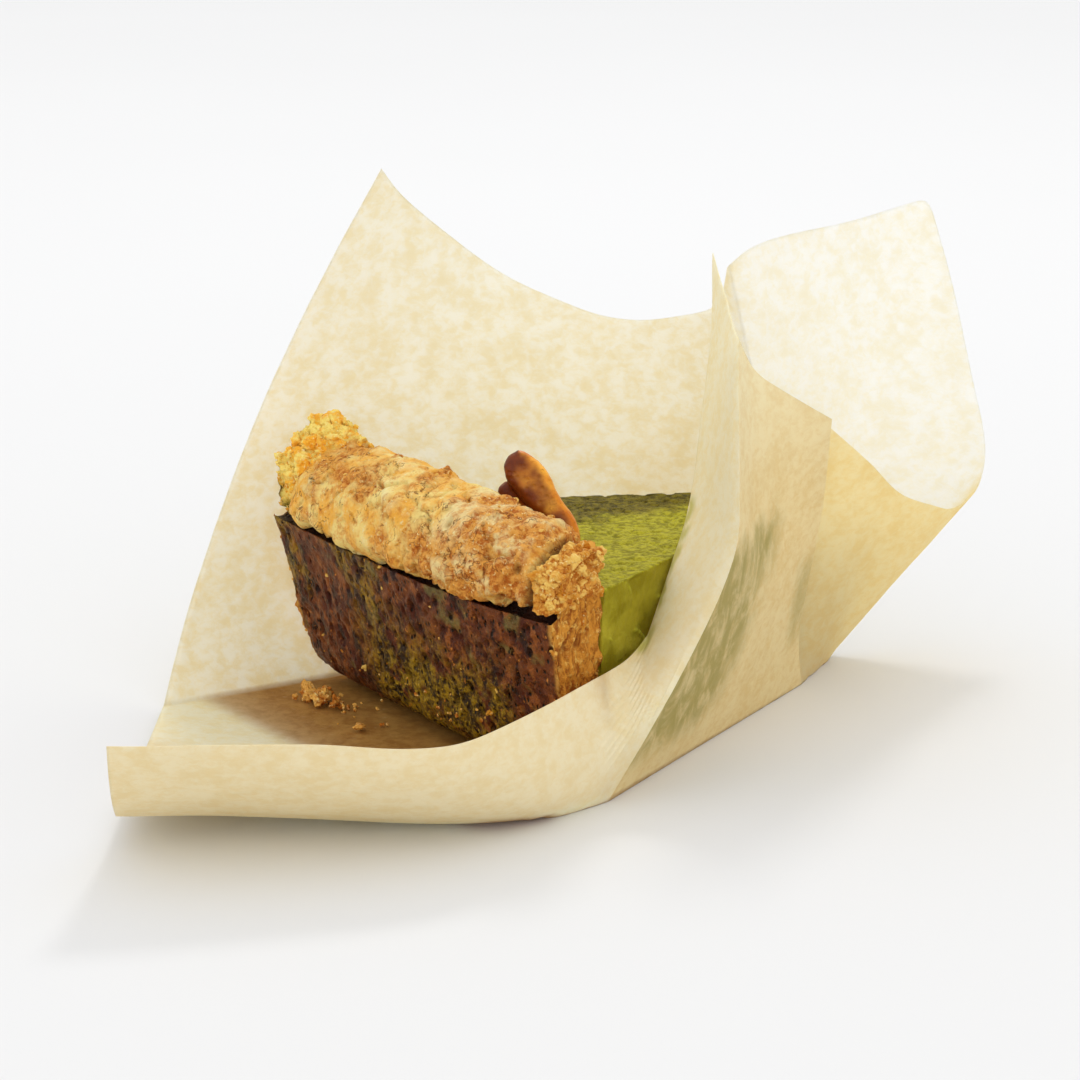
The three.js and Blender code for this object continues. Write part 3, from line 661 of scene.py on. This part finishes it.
def crust_shape(co, normal):
    """Relief and paint of the crust, each part of it with its own."""
    wall, cut, rim, left, right = crust_masks(co)
    degrees, r, z = on_pie(co)
    past_wall = r - wall_edge(degrees)
    outside = between(past_wall, -9, -4) * (1 - cut)
    broken = max(left, right)
    sunk = wall_pits(co)
    rough = crag(co)
    lump, groove = knob(co)
    dented = lump * pits(co, 3.0, 3.4, 0.5, 21)

    rolled = dough(co, rough) + 0.9 * lump - 1.3 * dented - 2.0 * groove
    crumbly = 1.1 * lumps(co, 5, 2) + 1.1 * lumps(co, 2.4, 3) + 0.4 * lumps(co, 1.1, 2)
    bent = co + mm(1.2) * noise.noise_vector(co * 300)
    layers = lumps(Vector((bent.x, bent.y, bent.z * 0.45)), 2.6, 3, 4)
    overhang = outside * rim * (1 - between(z, RIM_FOOT + 1, RIM_FOOT + 6))
    crevice = outside * between(z, WALL_TOP - 0.2, WALL_TOP + 0.3) * (1 - rim)
    height = sum([
        wall * (0.45 * lumps(co, 5, 3) - 1.5 * sunk + 0.25 * lumps(co, 1.9, 2)),
        rim * (1 - broken) * rolled,
        broken * (crumbly - 0.2),
        cut * (1 - broken) * (0.9 * layers + 0.4 * lumps(co, 1.5, 2) - 0.3),
        overhang * (2.2 + 0.8 * lumps(co, 9, 2, 41)),
    ])
    height -= crevice * 0.8

    scorched = between(past_wall, -3, -1) * between(z, 40, 41) * (1 - between(z, 44, 46))
    relief = max(rolled * (1 - broken), crumbly * broken) if rim > 0.5 else layers
    hollow = 0.8 * rim * (1 - broken) * max(groove, dented)
    paints = {
        "wall": wall, "cut": cut, "crumb": broken, "bright": left, "crag": max(rough, 0.8 * lump),
        "relief": min(1.0, max(0.0, 0.5 + 0.3 * relief)),
        # pit is painted shade in the wall's pits, the crevice under the rim, and the rim's groove
        # and dents.
        "pit": min(1.0, wall * sunk + crevice + hollow),
        "moss": mossy(co),
        "char": (1 - between(degrees, 188.3, 189.2)) * scorched,
    }
    return (height if z > CRUST_FOOT else min(0.0, height)), paints


def make_crust():
    bm = merged_copy("crust")
    into_quads(bm)
    crust = piece_from(bm, "pie_crust")
    apply_modifier(crust, "SUBSURF", levels=1, render_levels=1)
    apply_modifier(crust, "REMESH", mode="VOXEL", voxel_size=mm(CRUST_GRAIN))
    sculpt(crust, crust_shape)
    dress(crust, crust_finish(), "crust", "crust")
    return crust


# ---------------------------------------------------------------- the custard


def custard_shape(co, normal):
    """A fine grain and pores on the custard's top, and a softly torn cut face."""
    degrees, r, _ = on_pie(co)
    top = between(normal.z, 0.55, 0.8)
    cut = (1 - top) * (between(degrees, SLICE_END - 1.2, SLICE_END - 0.2) if r > 6 else 0.0)
    bent = co + mm(2.5) * noise.noise_vector(co * 150)
    torn = cracks(bent, 9, 0.06, 3) * between(lumps(co, 7, 2, 6), 0.0, 0.3)
    height = top * (0.16 * lumps(co, 1.6) - 0.4 * between(lumps(co, 3.1, 2, 8), 0.25, 0.45))
    height += cut * (0.7 * lumps(co, 8, 3) + 0.7 * torn - 0.3)
    back = 1 - between(degrees + 5 * lumps(co, 5), 203, 214)
    # ridge marks the torn ridges of the cut face for their painted highlights.
    return min(height, CUSTARD_RELIEF), {"top": top, "ridge": cut * torn, "back": back}


def make_custard():
    bm = merged_copy("matcha_filling")
    into_quads(bm)
    custard = piece_from(bm, "matcha_custard")
    apply_modifier(custard, "REMESH", mode="VOXEL", voxel_size=mm(CUSTARD_GRAIN))
    sculpt(custard, custard_shape)
    dress(custard, custard_finish(), "custard", "matcha_filling")


# ---------------------------------------------------------------- the biscuit


def biscuit_shape(co, normal):
    """Slight dents, and painted shade on the left side, where the surface faces away from the
    light.
    """
    return 0.15 * lumps(co, 3.5), {"shade": between(-normal.x + 0.4 * lumps(co, 5), -0.5, 0.2)}


def make_biscuit():
    bm = merged_copy("biscuit_fork")
    biscuit = piece_from(bm, "glazed_biscuit")
    apply_modifier(biscuit, "REMESH", mode="VOXEL", voxel_size=mm(BISCUIT_GRAIN))
    apply_modifier(biscuit, "SMOOTH", factor=0.5, iterations=6)

    sculpt(biscuit, biscuit_shape)
    dress(biscuit, biscuit_finish(), "biscuit", "biscuit_fork")


# ---------------------------------------------------------------- the paper

FOLDS = [row(CORNER_FOLD), row(PLEAT_FOLD)]
EDGE = row(STRIP_EDGE)


def outer_skin(bm):
    """Leaves only the outer face of the closed sheet: its rim and its inner face are deleted."""
    thin, thick = mm(PAPER_SOLID - 0.4), mm(PAPER_SOLID + 0.06)
    rim = set()
    for edge in bm.edges:
        if thin < edge.calc_length() < thick:
            along = (edge.verts[1].co - edge.verts[0].co).normalized()
            ends = [max(abs(f.normal.dot(along)) for f in v.link_faces) for v in edge.verts]
            if min(ends) > 0.4:
                rim.update(edge.link_faces)
    bmesh.ops.delete(bm, geom=list(rim), context="FACES")
    lowest = min(bm.verts, key=lambda v: v.co.z)
    kept, fresh = {lowest}, [lowest]
    while fresh:
        near = {e.other_vert(v) for v in fresh for e in v.link_edges} - kept
        kept |= near
        fresh = list(near)
    bmesh.ops.delete(bm, geom=[v for v in bm.verts if v not in kept], context="VERTS")


def stain_and_tip_shadow_on_panel(co, z, fold, pleat):
    """On the side panel: a stained patch by the corner fold, and a painted shadow of the custard's
    tip at the pleat.
    """
    patch = (1 - between(fold + 4 * lumps(co, 9), 24, 38))
    patch *= 1 - between(z + 3 * lumps(co, 5), 43, 50)
    patch *= between(z, 3, 12)
    # A painted shadow of the custard's tip, seen through the paper.
    small = (1 - between(pleat, 4, 10)) * between(z, 10, 16) * (1 - between(z, 28, 36))
    return max(patch, 0.55 * small)


def shade_and_grease_on_floor(co, x, y, on_floor):
    """The floor's darker part by the slice: painted shade of the slice on greasy paper, which ends
    at the floor's crease.
    """
    a, b = (Vector(p) for p in FLOOR_CREASE)
    past = ((b.y - a.y) * (x - a.x) - (b.x - a.x) * (y - a.y)) / (b - a).length
    degrees, r, _ = on_pie(co)
    by_slice = 1 - between(r - wall_edge(degrees), 2, 46)
    return by_slice * (1 - between(past, -6, 1)) * on_floor


def paper_shape(co, normal):
    """Slight waves in the panels, where the paper is soaked or smeared, and where light and shade
    are painted on it.
    """
    x, y, z = co * 1000 - TIP
    fold, pleat = (from_row(co, places) for places in FOLDS)
    flat_fold = between(z, 1.5, 12) * between(fold, 0, 4) * between(pleat, 0, 4)
    height = flat_fold * (0.35 * lumps(co, 26, 2) + 0.06 * lumps(co, 6, 2))

    ear = between(x, -21, -17) * between(y, -45, -30)
    far = between(normal.y, -0.25, 0.25)
    lifted = between(z, 1, 4)
    floor = (1 - lifted) * between(-normal.z, 0.7, 0.95)
    flap = 1 - between(y, -100, -90)
    strip = between(x, -50, -46) * (1 - between(y, -16, -12)) * (1 - ear)
    band = (1 - between(x, -48, -34)) * (1 - between(y, -70, -40))
    band += 0.5 * between(x, -48, -34) * (1 - between(z, 25, 60))
    ragged = between(lumps(co, 4, 2), -0.3, 0.3)
    paints = {
        # painted_light: the flap, strip and floor, which get no light from behind.
        "painted_light": max(flap, strip, floor),
        "low": 1 - between(z + 3 * lumps(co, 20), 45, 80),
        "stain_and_tip_shadow": stain_and_tip_shadow_on_panel(co, z, fold, pleat),
        "smear": 0.7 * (1 - between(from_row(co, EDGE), 1.5, 4.5)) * ragged,
        "shade_and_grease": shade_and_grease_on_floor(co, x, y, floor),
        # backlit_white: painted light, whiter where light shines through the ear and high up.
        "backlit_white": max(ear * far, 0.4 * between(z, 40, 90) * far),
        # amber: painted light, the deeper tone of light through the ear's two layers.
        "amber": ear * (1 - far),
        # tan: painted shade, darker on the front flap and lower front, where little light comes
        # through.
        "tan": min(1.0, 0.75 * band * (1 - ear) * lifted),
    }
    return height, paints


def make_paper():
    bm = merged_copy("paper_wrap")
    outer_skin(bm)
    into_quads(bm, flat=25, sharp=38, folds=FOLDS)
    mark_region(bm, "panel", Vector(SIDE_PANEL) + TIP)
    paper = piece_from(bm, "bakery_paper")
    apply_modifier(paper, "SUBSURF", levels=3, render_levels=3, boundary_smooth="PRESERVE_CORNERS")
    sculpt(paper, paper_shape)
    solid = paper.modifiers.new("thickness", "SOLIDIFY")
    solid.thickness = mm(PAPER_THICKNESS)
    solid.offset = -1
    dress(paper, paper_finish(), "paper", "paper_wrap")


# ---------------------------------------------------------------- crumbs


def crumb(bm, where, size, rnd):
    """One loose crumb: an uneven chip, drawn out and turned at random. Large ones are rounder."""
    turn = Matrix.Rotation(rnd.uniform(0, math.tau), 4, Vector((rnd.random(), rnd.random(), 1)))
    lengths = [rnd.uniform(0.8, 1.35), rnd.uniform(0.7, 1.1), rnd.uniform(0.55, 0.9)]
    stretch = Matrix.Diagonal(lengths + [1])
    large = size > LARGE_CRUMB
    made = bmesh.ops.create_icosphere(bm, subdivisions=3 if large else 2, radius=mm(size / 2))
    shift = Vector((rnd.uniform(0, 99), rnd.uniform(0, 99), 0))
    for vertex in made["verts"]:
        uneven = 0.6 * noise.noise(vertex.co * (2200 / size) + shift)
        uneven += 0.4 * noise.noise(vertex.co * (5200 / size) + shift)
        vertex.co *= 1 + uneven
    bmesh.ops.transform(bm, matrix=Matrix.Translation(where) @ turn @ stretch, verts=made["verts"])


def make_crumbs(crust):
    """Crumbs on the broken ends of the rim, on the wall, by the biscuit, and loose in the paper."""
    rnd = random.Random(SEED)
    bm = bmesh.new()
    tones = []

    def drop(where, size, tone):
        before = len(bm.verts)
        crumb(bm, where, size, rnd)
        tones.extend([tone] * (len(bm.verts) - before))

    for middle, radius, count, small, large in HEAPS:
        for _ in range(count):
            size = small + (large - small) * rnd.random() ** 1.6
            away = Vector((rnd.gauss(0, 0.5), rnd.gauss(0, 0.5), abs(rnd.gauss(0, 0.25)))) * radius
            spot = Vector(middle) + away
            spot.z = max(spot.z, size * 0.9)
            drop(mm(1) * spot, size, HEAP_TONE)

    places = [(v.co.copy(), v.normal.copy(), crust_masks(v.co)) for v in crust.data.vertices]
    broken_low, wall_low = mm(BROKEN_END_LOW), mm(CUT_FOOT)
    # Which places they lie on, count, smallest and largest size, and tone: the left broken end
    # high up and low down, the right one, the cuts, the rim's crags, the wall's foot, the wall.
    kinds = [
        (lambda co, n, m: m.left > 0.6 and n.z > -0.3 and co.z > broken_low, 300, 0.7, 3.4, 1.0),
        (lambda co, n, m: m.left > 0.6 and n.z > -0.3 and co.z < broken_low, 80, 0.6, 1.8, 0.6),
        (lambda co, n, m: m.right > 0.5 and n.z > -0.3, 190, 0.6, 2.6, 0.4),
        (lambda co, n, m: m.cut > 0.6 and m.rim < 0.5, 90, 0.6, 1.9, 0.2),
        (lambda co, n, m: (
            m.rim > 0.9 and crag(co) > 0.8 and max(m.left, m.right) < 0.2
        ), 60, 0.7, 1.7, 0.3),
        (lambda co, n, m: m.wall > 0.9 and n.z > -0.6 and co.z < wall_low, 30, 0.5, 1.3, 0.1),
        (lambda co, n, m: m.wall > 0.9, 18, 0.6, 1.9, 0.5),
    ]
    for belongs, count, small, large, tone in kinds:
        spots = [(co, n) for co, n, m in places if belongs(co, n, m)]
        for co, n in rnd.sample(spots, min(count, len(spots))):
            size = small + (large - small) * rnd.random() ** 2.2
            drop(co - n * mm(size * 0.15), size, tone)
    crumbs = piece_from(bm, "loose_crumbs")
    store(crumbs, "bright", tones)
    dress(crumbs, crumb_finish(), "crust")
    crumbs.data.shade_flat()


# ---------------------------------------------------------------- table, light and camera


def make_table():
    bm = bmesh.new()
    bmesh.ops.create_grid(bm, x_segments=1, y_segments=1, size=TABLE_HALF)
    table = piece_from(bm, "table")
    table.data.materials.append(table_finish())


def make_light():
    """A pale studio, brighter in front of the slice, and a key light that stands behind it."""
    world = bpy.data.worlds.new("studio")
    bpy.context.scene.world = world
    world.use_nodes = True
    tree = world.node_tree
    place = tree.nodes.new("ShaderNodeTexCoord").outputs["Generated"]
    split = tree.nodes.new("ShaderNodeSeparateXYZ")
    level = tree.nodes.new("ShaderNodeMapRange")
    tree.links.new(place, split.inputs["Vector"])
    tree.links.new(split.outputs["Y"], level.inputs["Value"])
    front, back = STUDIO_LIGHT
    for name, value in (("From Min", -0.9), ("From Max", 0.7), ("To Min", front), ("To Max", back)):
        level.inputs[name].default_value = value
    tree.links.new(level.outputs["Result"], tree.nodes["Background"].inputs["Strength"])
    tree.nodes["Background"].inputs["Color"].default_value = STUDIO_TINT

    key = bpy.data.lights.new("key", "POINT")
    key.energy = KEY_ENERGY
    key.shadow_soft_size = mm(KEY_RADIUS)
    key.use_nodes = True
    falloff = key.node_tree.nodes.new("ShaderNodeLightFalloff")
    falloff.inputs["Strength"].default_value = 1.0
    strength = key.node_tree.nodes["Emission"].inputs["Strength"]
    key.node_tree.links.new(falloff.outputs["Constant"], strength)
    lamp = bpy.data.objects.new("key", key)
    lamp.location = [mm(v) for v in KEY_PLACE]
    bpy.context.collection.objects.link(lamp)


def make_camera():
    data = bpy.data.cameras.new("camera")
    data.lens = CAMERA_LENS
    data.clip_start, data.clip_end = 0.01, 50
    camera = bpy.data.objects.new("camera", data)
    camera.location = [mm(v) for v in CAMERA_PLACE]
    camera.rotation_euler = (math.radians(90 + CAMERA_PITCH), 0, 0)
    bpy.context.collection.objects.link(camera)
    bpy.context.scene.camera = camera
    bpy.context.scene.view_settings.view_transform = "Standard"


noise.seed_set(SEED)  # noise_vector starts from the clock otherwise, and no two runs are alike
make_camera()
make_light()
make_table()
make_paper()
crust_piece = make_crust()
make_custard()
make_biscuit()
make_crumbs(crust_piece)
